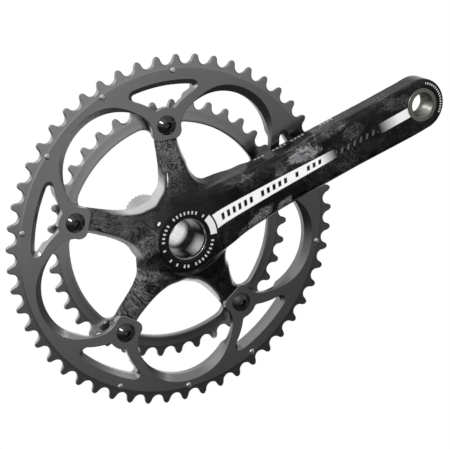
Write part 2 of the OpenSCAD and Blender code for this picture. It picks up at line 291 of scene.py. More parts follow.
def carbon():
    """Glossy moulded carbon with chopped patches and plain marks, in the arm's coordinates.

    limbs and wall paint light on the spider's upper limbs and on the walls of its valleys. The arm's upper side gets
    painted sheen in streaks, and a painted highlight in dashes along its back edge.
    """
    shader = Shader(
        "carbon_moulded", Coat_Weight=0.9, Coat_Roughness=0.03, Coat_IOR=1.4, Specular_IOR_Level=0.0)
    x, y, w = shader.axes()
    r, angle, _ = shader.polar()

    turned = angle * (180 / math.pi)

    warp = shader.noise(shader.place(), 0.045, 2, 0.5)
    bent = shader.add("VectorMath", {
        0: warp.socket.node.outputs[1], 1: (0.035, 0.035, 0.035),
        2: shader.object}, operation="MULTIPLY_ADD").outputs[0]
    cells = shader.add("TexVoronoi", {"Vector": bent, "Scale": 48.0, "Randomness": 1.0})
    pick = shader.add("SeparateXYZ", {0: cells.outputs[1]})
    light, turn = Value(shader, pick.outputs[0]), Value(shader, pick.outputs[1])
    fibres = shader.noise(shader.place((0.05, 0.42, 0.3), turn * 1.8, bent), 1.0, 6, 0.66, 1.6)
    clouds = shader.noise(shader.place(), 0.04, 3, 0.55, 1.0)
    ragged = (shader.noise(shader.place(), 0.22, 4, 0.65, 1.0) - 0.5) * 1.4
    fine = shader.noise(bent, 900.0, 4, 0.7, 1.5)
    veins = 1 - (fibres - 0.5).abs().rise(0.0, 0.04)
    sheen = fibres.rise(0.42, 0.7)

    def patch(at_x, at_y, long, wide, lean, level):
        """A brighter lump of fibre with a ragged edge"""
        c, s = math.cos(math.radians(lean)), math.sin(math.radians(lean))
        along, across = ((x - at_x) * c + (y - at_y) * s) / long, ((y - at_y) * c - (x - at_x) * s) / wide
        reach = shader.math("SQRT", along * along + across * across) + ragged
        return (1 - reach.rise(0.75, 1.1)) * level

    lumps = patch(89, 9.5, 12, 4.6, -6, 0.95)
    for spot in (
            (49, -12.5, 10, 4, 18, 0.9), (66, -13, 7, 3.4, 12, 0.9), (34, -17, 6, 3, 35, 0.6),
            (158, 9, 11, 4.5, -10, 0.5), (124, 7.5, 9, 5, 10, 0.42), (71, 8.5, 5, 5, 40, 0.45),
            (106, 14, 18, 2.6, 2, 0.35), (44, 16.5, 12, 2.6, -12, 0.4), (131, -6, 8, 4, -15, 0.25),
            (-24, 8, 14, 6, 25, 0.45), (-27, -12, 12, 4, -30, 0.4)):
        lumps = lumps + patch(*spot)
    limbs = (y * 0.6 - x * 0.8).rise(-24, 12) * r.rise(22, 38)
    glow = lumps * (sheen * 0.5 + 0.5) + light.rise(0.55, 1.0) * sheen * 0.42 + veins * clouds.rise(0.4, 0.6) * 0.5
    glow = (glow + limbs * (sheen * 0.4 + veins * 0.25 + 0.2)) * (fine.rise(0.3, 0.7) * 1.1 + 0.5)
    glow = glow + fine.rise(0.62, 0.76) * clouds.rise(0.35, 0.6) * 0.6
    # Painted sheen: light streaks only on the arm's upper side, where light from above falls.
    painted_top_streaks = shader.noise(shader.place((0.03, 0.9, 0.9)), 1.0, 3, 0.6, 0.4).rise(0.52, 0.72) * y.rise(11, 15)
    body = shader.colour(
        glow + painted_top_streaks * 0.4 * x.rise(25, 45), (0.0, (0.0016, 0.0016, 0.0018)), (0.3, (0.014, 0.014, 0.015)),
        (0.6, (0.065, 0.065, 0.068)), (1.0, (0.24, 0.24, 0.25)))
    depth = 59.9 - (r - 25) * 0.4 - w
    inboard = Value(shader, shader.add("SeparateXYZ", {0: shader.facing}).outputs[1])
    wall = depth.rise(2.2, 3.4) * r.rise(24, 27) * (1 - r.rise(57, 60)) * (1 - inboard.rise(0.1, 0.4))
    wall = wall * (
        turned.inside(-136, -78, 3) + turned.inside(84, 132, 3) * 0.45 + turned.inside(150, 176, 3) * 0.2)
    body = shader.mix(wall, body, grey(0.9))

    front = w.rise(59.8, 60.3)
    top, bottom = 6.0 - x * 0.025, x * 0.018 - 4.4
    middle, half = (top + bottom) * 0.5, (top - bottom) * 0.5
    across = (y - middle) / half
    stripe = across.inside(-1, 1, 0.06) * r.rise(20.3, 20.8) * x.rise(5, 6) * (1 - x.rise(97, 108))
    slash = (x - across * 0.9) / 4.1
    bars = slash.wrap(1.0).inside(0.2, 0.72, 0.05) * across.inside(-0.46, 0.46, 0.07) * x.inside(25, 98.5, 0.3)
    bars = bars * shader.hash(slash.floor()).rise(0.16, 0.17)
    faint = (
        ((x - y * 0.5) / 4.6).wrap(1.0).inside(0.25, 0.6, 0.06)
        * y.inside(-1.5, 1.6, 0.2) * x.inside(108, 139, 0.3))
    panel = y.inside(-3.1, 3.3, 0.15) * x.rise(140, 154) * (1 - x.rise(162.5, 163))

    ticks = (turned / 9).wrap(1.0).inside(0.2, 0.62, 0.06) * r.inside(15.6, 17.5, 0.15) * (1 - turned.inside(-26, 27))
    ticks = ticks * shader.hash((turned / 9).floor()).rise(0.2, 0.21)
    plate = r.inside(15, 19.4, 0.12) * turned.inside(-19, 21, 0.6)
    eye_x = x - CRANK_LENGTH
    eye_r = shader.math("SQRT", eye_x * eye_x + y * y)
    eye_turn = shader.math("ARCTAN2", y, eye_x) * (180 / math.pi)
    eye = eye_r.inside(13.1, 14.3, 0.1) * eye_turn.inside(-50, 60) * (eye_turn / 7).wrap(1.0).inside(0.15, 0.65, 0.06)
    # Painted highlight: light dashes along the upper back edge of the arm, a highlight broken up into dashes.
    rim = w - (49.9 + (x - 57) * 0.095)
    painted_edge_dashes = (
        rim.inside(0.4, 1.9, 0.15) * y.rise(10, 11) * x.inside(59, 119)
        * (x / 2.6).wrap(1.0).inside(0.15, 0.75, 0.08))
    painted_edge_dashes = painted_edge_dashes * shader.hash((x / 2.6).floor()).rise(0.25, 0.26)

    black = (1 - r.rise(19.4, 19.9)) * front
    print_grain = shader.noise(shader.place(), 0.8, 3, 0.6) * 0.15 + 0.8
    white = shader.combine(print_grain, print_grain, print_grain)
    colour = shader.mix(black, body, grey(0.004))
    for mask, strength in (
            (stripe * (1 - bars) * front, 1.0), (faint * front, 0.1), (panel * front, 0.92),
            (ticks * front, 0.6), (plate * front, 0.85), (eye * front, 0.65), (painted_edge_dashes, 0.45)):
        colour = shader.mix(mask * strength, colour, white)
    shader.base(colour)
    shader.roughness(glow.rise(0.0, 1.0) * 0.2 + 0.35)
    return shader.material


# ---- Meshes ----

def solid(name, points, faces):
    """An object from points in millimetres"""
    mesh = bpy.data.meshes.new(name)
    mesh.from_pydata((np.asarray(points, float) / 1000).tolist(), [], [[int(i) for i in f] for f in faces])
    edit = bmesh.new()
    edit.from_mesh(mesh)
    bmesh.ops.remove_doubles(edit, verts=edit.verts, dist=1e-6)
    edit.to_mesh(mesh)
    edit.free()
    obj = bpy.data.objects.new(name, mesh)
    bpy.context.scene.collection.objects.link(obj)
    return obj


def joined(parts):
    points, faces, start = [], [], 0
    for part_points, part_faces in parts:
        points.append(part_points)
        faces += [[i + start for i in face] for face in part_faces]
        start += len(part_points)
    return np.concatenate(points), faces


def cut(obj, parts):
    """Cuts closed shapes from an object"""
    tool = solid("tool", *joined(parts))
    modifier = obj.modifiers.new("cut", "BOOLEAN")
    modifier.object, modifier.operation, modifier.solver = tool, "DIFFERENCE", "EXACT"
    shaped = bpy.data.meshes.new_from_object(obj.evaluated_get(bpy.context.evaluated_depsgraph_get()))
    obj.modifiers.clear()
    obj.data = shaped
    bpy.data.objects.remove(tool)


def piece(name, shape, material, stands_for, cuts=(), body="crank", sharp=25):
    """A piece that stands for CAD nodes. cuts holds lists of closed shapes that don't touch each other."""
    obj = solid(name, *shape)
    for parts in cuts:
        cut(obj, parts)
    obj.data.transform(TO_ROW)
    obj.data.shade_smooth()
    obj.data.set_sharp_from_angle(angle=math.radians(sharp))
    obj.data.materials.clear()
    obj.data.materials.append(material)
    if sharp < 180:
        flat = obj.modifiers.new("flat_faces", "WEIGHTED_NORMAL")
        flat.keep_sharp = True
    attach(obj, body)
    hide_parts(*stands_for)
    return obj


def rounded(corners, steps=4):
    """A closed polygon of (x, y, radius) with an arc at each corner that has a radius"""
    out = []
    for i, (x, y, radius) in enumerate(corners):
        here = np.array([x, y], float)
        before = np.array(corners[i - 1][:2], float) - here
        after = np.array(corners[(i + 1) % len(corners)][:2], float) - here
        before /= np.linalg.norm(before)
        after /= np.linalg.norm(after)
        half = math.acos(max(-1, min(1, before @ after))) / 2
        if radius == 0 or half > 1.55:
            out.append(here)
            continue
        centre = here + (before + after) / np.linalg.norm(before + after) * radius / math.sin(half)
        start = here + before * radius / math.tan(half) - centre
        turn = math.copysign(math.pi - 2 * half, after[0] * before[1] - after[1] * before[0])
        for k in range(steps + 1):
            c, s = math.cos(turn * k / steps), math.sin(turn * k / steps)
            out.append(centre + np.array([c * start[0] - s * start[1], s * start[0] + c * start[1]]))
    return np.array(out)


def lathe(profile, sides=96, at=(0, 0)):
    """A closed (r, w) profile, or one of (r, w, corner radius), turned about a line along w"""
    profile = np.array(profile, float)
    if profile.shape[1] == 3:
        profile = rounded(profile)
    r, w = profile.T
    if np.sum(r * np.roll(w, -1) - np.roll(r, -1) * w) < 0:
        r, w = r[::-1], w[::-1]
    n = len(r)
    a = np.arange(sides) * 2 * math.pi / sides
    points = np.stack([
        at[0] + np.outer(np.cos(a), r), at[1] + np.outer(np.sin(a), r), np.tile(w, (sides, 1))], -1)
    faces = []
    for i in range(sides):
        j = (i + 1) % sides
        for k in range(n):
            m = (k + 1) % n
            faces.append((i * n + k, j * n + k, j * n + m, i * n + m))
    return points.reshape(-1, 3), faces


def loft(loops):
    """A closed solid through loops of equal length, the lowest first, each anticlockwise from outboard"""
    n = len(loops[0])
    faces = [tuple(range(n))[::-1], tuple(range((len(loops) - 1) * n, len(loops) * n))]
    for k in range(len(loops) - 1):
        for i in range(n):
            j = (i + 1) % n
            a, b, c, d = k * n + i, k * n + j, (k + 1) * n + j, (k + 1) * n + i
            faces += [(a, b, c), (a, c, d)]
    return np.concatenate(loops), faces


def grown(loop, by):
    """An anticlockwise outline moved outwards by so much, or by so much at each point"""
    before, after = loop - np.roll(loop, 1, 0), np.roll(loop, -1, 0) - loop
    normals = [np.stack([e[:, 1], -e[:, 0]], -1) / np.linalg.norm(e, axis=1)[:, None] for e in (before, after)]
    normal = normals[0] + normals[1]
    normal /= np.maximum(np.sum(normal * normals[0], 1), 0.5)[:, None]
    return loop + normal * np.broadcast_to(by, len(loop))[:, None]


def at_height(loop, w):
    return np.column_stack([loop, np.broadcast_to(w, len(loop))])


def turned_by(points, angle):
    c, s = math.cos(angle), math.sin(angle)
    points = np.array(points, float)
    points[:, :2] = points[:, :2] @ np.array([[c, s], [-s, c]])
    return points


def moved(shape, x, y=0.0):
    return shape[0] + np.array([x, y, 0]), shape[1]


def at_bolt(shape, k):
    return turned_by(moved(shape, BOLT_CIRCLE)[0], k * STEP), shape[1]


def meet(c1, r1, c2, r2, side):
    """The point at r1 from c1 and r2 from c2, to the left of c1 to c2 if side is 1"""
    c1, c2 = np.array(c1, float), np.array(c2, float)
    along = (c2 - c1) / np.linalg.norm(c2 - c1)
    reach = (r1 ** 2 - r2 ** 2 + np.sum((c2 - c1) ** 2)) / (2 * np.linalg.norm(c2 - c1))
    return c1 + along * reach + side * math.sqrt(r1 ** 2 - reach ** 2) * np.array([-along[1], along[0]])


def arc(centre, start, end, way, step=1.0):
    """Points from start to end round centre, anticlockwise if way is 1"""
    centre, start, end = (np.array(p, float) for p in (centre, start, end))
    a, b = (math.atan2(*(p - centre)[::-1]) for p in (start, end))
    turn = (b - a) * way % (2 * math.pi) * way
    radius = np.linalg.norm(start - centre)
    count = max(2, math.ceil(abs(turn) * radius / step))
    angles = a + turn * np.arange(count + 1) / count
    return centre + radius * np.column_stack([np.cos(angles), np.sin(angles)])


def chained(*parts):
    """Joins lines end to end, without repeated points"""
    points = np.concatenate(parts)
    keep = np.linalg.norm(points - np.roll(points, 1, 0), axis=1) > 1e-3
    return points[keep]


def mirrored(points):
    return (points * np.array([1, -1]))[::-1]


def anticlockwise(loop):
    x, y = loop.T
    return loop if np.sum(x * np.roll(y, -1) - np.roll(x, -1) * y) > 0 else loop[::-1]


def hexagon(radius, w, at=0.0):
    a = np.arange(6) * math.pi / 3 + at
    return at_height(radius * np.column_stack([np.cos(a), np.sin(a)]), w)


# ---- Chainrings ----

def ring_opening():
    """The big ring's inner outline, lobes and tabs, anticlockwise"""
    bolt = np.array([BOLT_CIRCLE, 0])
    tab, fillet = 9.6, 16
    f = meet(LOBE, LOBE_R - fillet, bolt, tab + fillet, 1)
    on_lobe = LOBE + (f - LOBE) / (LOBE_R - fillet) * LOBE_R
    on_tab = bolt + (f - bolt) / (tab + fillet) * tab
    middle = LOBE + LOBE / np.linalg.norm(LOBE) * LOBE_R
    corner = np.array([BOLT_CIRCLE - TAB_END + TAB_CORNER, tab - TAB_CORNER])
    half = chained(
        np.array([(BOLT_CIRCLE - TAB_END, 0.0)]),
        arc(corner, corner - (TAB_CORNER, 0), corner + (0, TAB_CORNER), -1, 0.6),
        arc(f, on_tab, on_lobe, 1), arc(LOBE, on_lobe, middle, 1))
    whole = chained(mirrored(half[1:]), half)
    return chained(*[turned_by(whole, k * STEP) for k in range(5)])


def small_opening():
    """The small ring's inner outline, anticlockwise"""
    bolt = np.array([BOLT_CIRCLE, 0])
    tab, fillet, inner = 9.0, 8.0, 67.0
    f = meet((0, 0), inner - fillet, bolt, tab + fillet, 1)
    on_ring = f / np.linalg.norm(f) * inner
    on_tab = bolt + (f - bolt) / (tab + fillet) * tab
    middle = inner * np.array([math.cos(STEP / 2), math.sin(STEP / 2)])
    half = chained(
        arc(bolt, (BOLT_CIRCLE - tab, 0), on_tab, -1), arc(f, on_tab, on_ring, 1), arc((0, 0), on_ring, middle, 1))
    whole = chained(mirrored(half[1:]), half)
    return chained(*[turned_by(whole, k * STEP) for k in range(5)])


def window():
    """The opening in a tab outboard of its bolt, anticlockwise, with the bolt on the x axis"""
    bolt = np.array([BOLT_CIRCLE, 0])
    outer, side, near, fillet = 91.0, 41.2, 10.8, 2.2
    top = meet((0, 0), outer - fillet, LOBE, side + fillet, -1)
    low = meet(LOBE, side + fillet, bolt, near + fillet, 1)
    half = np.concatenate([
        arc(bolt, (BOLT_CIRCLE + near, 0), bolt + (low - bolt) / (near + fillet) * near, 1, 0.8),
        arc(low, bolt + (low - bolt) / (near + fillet) * near, LOBE + (low - LOBE) / (side + fillet) * side, -1, 0.5),
        arc(LOBE, LOBE + (low - LOBE) / (side + fillet) * side, LOBE + (top - LOBE) / (side + fillet) * side, 1, 1.0),
        arc(top, LOBE + (top - LOBE) / (side + fillet) * side, top / np.linalg.norm(top) * outer, -1, 0.4),
        arc((0, 0), top / np.linalg.norm(top) * outer, (outer, 0), -1, 1.0)])
    return anticlockwise(chained(half, mirrored(half)))


def smooth_step(value, low, high):
    t = np.clip((value - low) / (high - low), 0, 1)
    return t * t * (3 - 2 * t)


def gap_cutters(teeth, phase, front, back):
    """The spaces between teeth. front and back give the blade's faces at a radius."""
    pitch = CHAIN_PITCH / (2 * math.sin(math.pi / teeth))
    tip, seat, at = pitch + 1.8, 4.05, math.radians(62)
    a = np.linspace(math.pi + at, math.pi - at, 15)
    seat_arc = np.column_stack([pitch + seat * np.cos(a), seat * np.sin(a)])
    flank = np.array([
        (pitch + 0.5, -4.5), (pitch + 1.0, -5.0), (pitch + 1.45, -5.45), (tip - 0.1, -5.85), (tip + 0.5, -6.2)])
    loop = anticlockwise(np.concatenate([flank[::-1], seat_arc, flank * [1, -1]]))
    r = np.linalg.norm(loop, axis=1)
    bevel = 0.6 * (r < tip - 0.6)
    levels = [(back(r) - 1.5, 0.0), (front(r) - 0.3, 0.0), (front(r) + 0.05, bevel), (front(r) + 1.5, bevel)]
    shape = loft([at_height(grown(loop, by), w) for w, by in levels])
    return [(turned_by(shape[0], math.radians(phase + (k + 0.5) * 360 / teeth)), shape[1]) for k in range(teeth)]


# ---- Carbon arm: a distance field and the surface where it is zero ----

def curve(points, blur):
    """A line through (at, value) points as a function, its corners blurred over so many millimetres"""
    at, value = np.array(points, float).T
    fine = np.arange(at[0] - 3 * blur, at[-1] + 3 * blur, 0.25)
    weight = np.exp(-(np.arange(-int(8 * blur), int(8 * blur) + 1) / (4 * blur)) ** 2)
    level = np.pad(np.interp(fine, at, value), len(weight) // 2, mode="edge")
    smooth = np.convolve(level, weight / weight.sum(), mode="valid")
    return lambda x: np.interp(x, fine, smooth)


ARM_HALF = curve([(0, 19.5), (25, 20.4), (40, 18.2), (60, 16.9), (80, 16.3), (180, 16.3)], 5)
ARM_FRONT = curve([(0, 63), (20, 62.7), (35, 62.7), (60, 64.2), (100, 67.9), (150, 71.8), (166, 73), (190, 73)], 6)
ARM_BACK = curve([
    (0, 46.2), (55, 46.2), (59, 48.9), (80, 49.7), (100, 52.3), (140, 57.1), (166, 59.3), (190, 59.3)], 1.5)
DOME_FRONT = curve([
    (0, 62.9), (18, 62.9), (21, 62.3), (25, 59.9), (30, 57.3), (40, 53.3), (50, 50.6), (57, 48.6), (90, 48.6)], 2)
DOME_BACK = curve([(0, 46.2), (20, 46.2), (24, 49.1), (33, 48.5), (48, 43.9), (56, 41.5), (90, 41.5)], 1)
SPIDER_HALF = curve([
    (0, 15), (25, 13.6), (30, 11.6), (36, 9.6), (44, 8.1), (54, 7.3), (60, 7.5), (67.5, 8.5), (80, 8.5)], 2)
WALL_DRAFT = curve([(-20, -0.6), (-7, -0.6), (0, 3.2), (8, 7)], 0.8)


def both(a, b, radius):
    """Where two shapes overlap, with an edge of that radius"""
    return np.minimum(np.maximum(a, b), -radius) + np.hypot(np.maximum(a + radius, 0), np.maximum(b + radius, 0))


def either(a, b, blend):
    """Two shapes together, with a hollow blend between them"""
    h = np.clip(0.5 + 0.5 * (b - a) / blend, 0, 1)
    return b + (a - b) * h - blend * h * (1 - h)


def carbon_field(x, y, w):
    along = np.clip(x, 0, CRANK_LENGTH)
    side = np.hypot(x - along, y) - ARM_HALF(along)
    edge = np.interp(x, [0, 35, 120, 160], [1.2, 5.0, 4.5, 1.8])
    arm = both(both(side, w - ARM_FRONT(x), edge), ARM_BACK(x) - w, 0.8)

    r, angle = np.hypot(x, y), np.arctan2(y, x)
    sector = np.round(angle / STEP)
    u, v = r * np.cos(angle - sector * STEP), r * np.sin(angle - sector * STEP)
    core = -either(30.5 - r, np.hypot(u - 31.15, np.abs(v) - 22.63) - 9, 2)
    limb = np.maximum(np.abs(v + 1.2) - SPIDER_HALF(u), u - BOLT_CIRCLE)
    pad = np.hypot(u - BOLT_CIRCLE, v)
    aside = np.abs(y)
    toward = 0.309 * aside - 0.951 * x
    web = np.minimum.reduce([
        np.maximum.reduce([
            x - 36.5 + 0 * y, 0.809 * x + 0.588 * aside - 40.8, toward, 13.4 - np.hypot(x - 36.5, aside - 32.6)]),
        np.maximum.reduce([
            0.994 * x + 0.108 * aside - 27.6, 0.839 * x - 0.544 * aside, toward, 0.309 * x + 0.951 * aside - 54]),
        np.maximum(aside + 0.3 * x - 30.1, np.abs(x - 43.5) - 13.5)])
    front = DOME_FRONT(r)
    plan = either(either(core, np.minimum(limb, pad - 8.5), 5), web, 3) + WALL_DRAFT(w - front)
    spider = both(both(plan * 0.95, w - front, 2.2), DOME_BACK(r) - w, 1.0)
    body = either(arm, spider, 5)

    fifth = np.broadcast_to(sector == 0, pad.shape)
    tab = np.hypot(
        np.maximum(np.abs(u - BOLT_CIRCLE) - TAB_END + TAB_CORNER, 0),
        np.maximum(np.abs(v) - 6.1, 0)) - TAB_CORNER - 0.3
    pedal = np.hypot(x - CRANK_LENGTH, y)
    holes = [
        np.minimum(np.maximum(r - 14, w - 61), r - 12.9),
        np.where(fifth, np.maximum(tab, w - 48.9), np.maximum(tab, 45.1 - w)),
        np.where(fifth, np.maximum(pad - 5.5, w - 57), np.maximum(pad - 5, w - 50)),
        np.minimum(pedal - 9.4, np.maximum(pedal - 10.6, 72.2 - w)),
    ]
    for hole in holes:
        body = both(body, -hole, 0.35)
    return body


def steepness(field, points, step=0.05):
    out = np.empty_like(points)
    for k in range(3):
        shift = np.zeros(3)
        shift[k] = step
        out[:, k] = (field(*(points + shift).T) - field(*(points - shift).T)) / (2 * step)
    return out


def surface(field, low, high, step):
    """Points and faces where the field is zero"""
    x, y, w = (np.arange(a, b, step) for a, b in zip(low, high))
    value = field(x[:, None, None], y[None, :, None], w[None, None, :]).astype(np.float32)
    inside = value < 0
    size = np.array(value.shape) - 1
    count = np.zeros(size, np.int8)
    for i in range(8):
        a, b, c = i & 1, i >> 1 & 1, i >> 2
        count += inside[a:a + size[0], b:b + size[1], c:c + size[2]]
    mixed = (count > 0) & (count < 8)
    cells = np.argwhere(mixed)
    index = np.full(size, -1)
    index[mixed] = np.arange(len(cells))
    total, hits = np.zeros((len(cells), 3)), np.zeros(len(cells))
    faces = []
    unit = np.eye(3, dtype=int)
    for axis in range(3):
        first, second = unit[(axis + 1) % 3], unit[(axis + 2) % 3]
        for corner in (0 * first, first, second, first + second):
            start = cells + corner
            a, b = value[tuple(start.T)], value[tuple((start + unit[axis]).T)]
            crosses = (a < 0) != (b < 0)
            share = np.where(crosses, a / np.where(crosses, a - b, 1), 0)
            total += (start + share[:, None] * unit[axis]) * crosses[:, None]
            hits += crosses
        end = tuple(slice(unit[axis][k], None) for k in range(3))
        begin = tuple(slice(None, -1) if unit[axis][k] else slice(None) for k in range(3))
        for way in (0, 1):
            edges = np.argwhere((inside[begin] != inside[end]) & (inside[begin] == (way == 0)))
            edges = edges[np.all((edges >= first + second) & (edges < size), 1)]
            ring = [index[tuple((edges - shift).T)] for shift in (0 * first, first, first + second, second)]
            faces.append(np.column_stack(ring[::-1] if way else ring))
    points = np.array(low) + step * total / hits[:, None]
    for _ in range(3):
        slope = steepness(field, points)
        push = field(*points.T) / np.maximum(np.sum(slope ** 2, 1), 0.2)
        points -= np.clip(push, -step / 2, step / 2)[:, None] * slope
    return points, np.concatenate(faces)


# ---- Pieces ----

RING = ring_metal()
CARBON = carbon()
BLACK = gloss_black()
BRIGHT = metal("polished_alloy", (0.7, 0.7, 0.69), 0.18, 0.03, 0.4)
STEEL = metal("axle_steel", (0.5, 0.5, 0.51), 0.22, 0.04, 0.5)
AXLE = axle_steel()
DULL = metal("insert_alloy", (0.33, 0.33, 0.30), 0.35, 0.05, 0.3)
PIN = metal("bright_steel", (0.9, 0.9, 0.89), 0.12, 0.02)
SEAL = rubber("seal_rubber", 0.03)
CAGE = rubber("cage_polyamide", 0.5)

arm = piece(
    "arm_shell", surface(carbon_field, (-78, -78, 39), (191, 78, 75), 0.8),
    CARBON, ["carbon_arm"], sharp=180)
to_row = np.array(TO_ROW.to_3x3())
place = np.array([v.co for v in arm.data.vertices]) * 1000 @ to_row
slope = steepness(carbon_field, place) @ to_row.T
arm.data.normals_split_custom_set_from_vertices(slope / np.linalg.norm(slope, axis=1)[:, None])


def blade(centre, tip):
    """The faces of a tooth blade at a radius: back, then front"""
    half = lambda r: np.interp(r, [tip - 5.2, tip - 0.4, tip], [1.05, 0.62, 0.45])
    return lambda r: centre - half(r), lambda r: centre + half(r)


def circle_cutter(radius, low, high, sides=48):
    a = np.arange(sides) * 2 * math.pi / sides
    loop = radius * np.column_stack([np.cos(a), np.sin(a)])
    return loft([at_height(loop, low), at_height(loop, high)])


def big_ring():
    back, front = blade(BIG_MIDDLE, BIG_TIP_R)
    profile = [
        (50, 45.1, 0), (82.6, 45.1, 1), (84.4, 41.7, 0.8), (95.6, 41.7, 0.8), (97.4, 45.1, 1), (101.7, 45.1, 0.2),
        (101.9, 45.95, 0.2), (103.8, 45.95, 0), (108.6, 46.38, 0), (109, 46.6, 0), (109, 47.4, 0), (108.6, 47.62, 0),
        (103.8, 48.05, 0), (101.2, 48.18, 0), (100.75, 48.4, 0), (50, 48.4, 0)]
    under = lambda r: np.interp(r, [82.6, 84.4, 95.6, 97.4], [45.1, 41.7, 41.7, 45.1])

    def opening(loop, chamfer):
        low = under(np.linalg.norm(loop, axis=1))
        return loft([
            at_height(grown(loop, 0.3), 40), at_height(grown(loop, 0.3), low), at_height(loop, low + 0.3),
            at_height(loop, 48.4 - 0.57 * chamfer), at_height(grown(loop, chamfer + 0.7), 48.8)])

    inner = ring_opening()
    r = np.linalg.norm(inner, axis=1)
    lobes = [opening(inner, 0.3 + 4.2 * smooth_step(r, 76, 92) ** 1.5)]
    cuts = gap_cutters(BIG_TEETH, BIG_PHASE, front, back)
    hole = window()
    r = np.linalg.norm(hole, axis=1)
    bevel = 0.3 + 2.8 * smooth_step(r, 87.5, 90.5)
    for k in range(5):
        points, faces = opening(hole, bevel)
        cuts.append((turned_by(points, k * STEP), faces))
        cuts.append(at_bolt(circle_cutter(BOLT_HOLE_R, 44, 50), k))
    return lathe(profile, 300), [lobes, cuts]


def small_ring():
    back, front = blade(SMALL_MIDDLE, SMALL_TIP_R)
    profile = [
        (55, 38.3, 0), (73.4, 38.3, 0.1), (73.7, 38.75, 0.1), (75.5, 38.75, 0), (80.3, 39.18, 0), (80.7, 39.4, 0),
        (80.7, 40.2, 0), (80.3, 40.42, 0), (75.5, 40.85, 0), (73.9, 41.05, 0), (73.5, 41.2, 0), (70.5, 41.2, 0),
        (69.2, 41.5, 0), (55, 41.5, 0)]
    inner = small_opening()
    cuts = [loft([
        at_height(grown(inner, 0.6), 38.0), at_height(inner, 38.6), at_height(inner, 41.0),
        at_height(grown(inner, 1.0), 41.7)])]
    cuts += [at_bolt(circle_cutter(BOLT_HOLE_R, 37, 42.5), k) for k in range(5)]
    cuts += gap_cutters(SMALL_TEETH, SMALL_PHASE, front, back)
    return lathe(profile, 240), [cuts]


shape, cuts = big_ring()
piece("big_ring", shape, RING, ["big_chainring"], cuts)
shape, cuts = small_ring()
piece("small_ring", shape, RING, ["small_chainring"], cuts)

PIN_ANGLES = [67.8, 95, 122.2, 149.4, 224, 251.2, 278.4, 326.3]
rivet = lathe([
    (0, 43.3, 0), (2.6, 43.3, 0.3), (2.6, 45.1, 0.2), (1.5, 45.1, 0), (1.5, 48.3, 0), (1.9, 48.45, 0),
    (1.75, 48.75, 0.1), (1.3, 49, 0.4), (0, 49.1, 0)], 32)
pins = joined([(turned_by(moved(rivet, PIN_AT)[0], math.radians(a)), rivet[1]) for a in PIN_ANGLES])
piece("shift_rivets", pins, PIN, ["shift_pins"])
piece("catch_pin", moved(lathe([
    (0, 45.1, 0), (2, 45.1, 0), (2, 48.4, 0), (2.8, 48.4, 0.2), (2.8, 50.9, 0.7), (0, 51, 0)], 40), CATCH_PIN_AT),
    PIN, ["chain_catch_pin"])

for k in range(1, 5):
    head = lathe([
        (0, 40.5, 0), (3.6, 40.5, 0), (4, 40.9, 0), (4, 48.4, 0), (6, 48.4, 0.1), (6, 48.9, 0.3), (5.65, 49.3, 0.3),
        (4.1, 50.7, 0.5), (3.3, 51.15, 0.8), (2.4, 51.3, 2.0), (0, 51.4, 0)], 64)
    socket = loft([hexagon(0.6, 46.6), hexagon(2.4, 47.3), hexagon(2.4, 51.1), hexagon(2.9, 51.7)])
    piece(f"bolt_{k}", at_bolt(head, k), BLACK, [f"chainring_bolt_{k}"], [[at_bolt(socket, k)]])
    nut = lathe([
        (4, 36.8, 0.2), (6.3, 36.8, 0.5), (6.4, 38.3, 0.15), (5, 38.3, 0), (5, 47.4, 0.2), (4, 47.4, 0.2)], 64)
    slot_loop = np.array([(-8, -1), (8, -1), (8, 1), (-8, 1)], float)
    slot_cut = loft([at_height(slot_loop, 36.3), at_height(slot_loop, 37.6)])
    piece(f"nut_{k}", at_bolt(nut, k), BLACK, [f"chainring_nut_{k}"], [[at_bolt(slot_cut, k)]])

inner_bolt = lathe([
    (0, 35.7, 0), (5.2, 35.7, 0.6), (6.4, 36.6, 0.4), (6.4, 38.3, 0.2), (5, 38.3, 0), (5, 48.4, 0.2), (4, 48.4, 0),
    (4, 55.5, 0), (3.5, 56, 0), (0, 56, 0)], 64)
socket = loft([hexagon(3.6, 35.4), hexagon(2.9, 36.1), hexagon(2.9, 39.2), hexagon(0.6, 39.9)])
piece("inner_bolt", at_bolt(inner_bolt, 0), BLACK, ["arm_chainring_bolt"], [[at_bolt(socket, 0)]])
piece("spacer", at_bolt(lathe([(5, 41.5, 0.2), (8.5, 41.5, 0.4), (8.5, 45.1, 0.4), (5, 45.1, 0.2)], 64), 0),
      BLACK, ["chainring_spacer"])

piece("sleeve", lathe([
    (12.5, 46.2, 0), (14, 46.2, 0.2), (14, 61, 0), (12.9, 61, 0), (12.9, 63.2, 0.3), (12.2, 63.2, 0.3), (12.2, 61, 0),
    (12.5, 61, 0)], 128), BRIGHT, ["hub_sleeve"])


def threaded(shape, radius, low, high, pitch, depth):
    """Turns the wall at a radius into a thread between two heights"""
    points = shape[0].copy()
    r, angle = np.hypot(points[:, 0], points[:, 1]), np.arctan2(points[:, 1], points[:, 0])
    wall = (np.abs(r - radius) < 1e-3) & (points[:, 2] > low) & (points[:, 2] < high)
    wave = 0.5 + 0.5 * np.cos(2 * math.pi * (points[:, 2] / pitch - angle / (2 * math.pi)))
    points[wall, :2] *= (1 + depth * wave[wall] / radius)[:, None]
    return points, shape[1]


def wall(radius, start, end, step):
    """Closely spaced profile points up or down a wall"""
    count = int(abs(end - start) / step)
    return [(radius, w) for w in np.linspace(start, end, count + 1)]


insert = lathe(
    [(9.4, 59.4), (9.4, 72.2), (10.4, 72.2), (10.6, 72.4), (10.6, 72.9), (10.4, 73.1), (8.0, 73.1), (7.6, 72.9)]
    + wall(7.14, 72.4, 60.0, 0.16) + [(7.6, 59.5), (7.9, 59.3), (9.3, 59.3)], 96)
piece("pedal_bush", moved(threaded(insert, 7.14, 60.2, 72.2, 1.27, 0.55), CRANK_LENGTH),
      DULL, ["pedal_insert"])

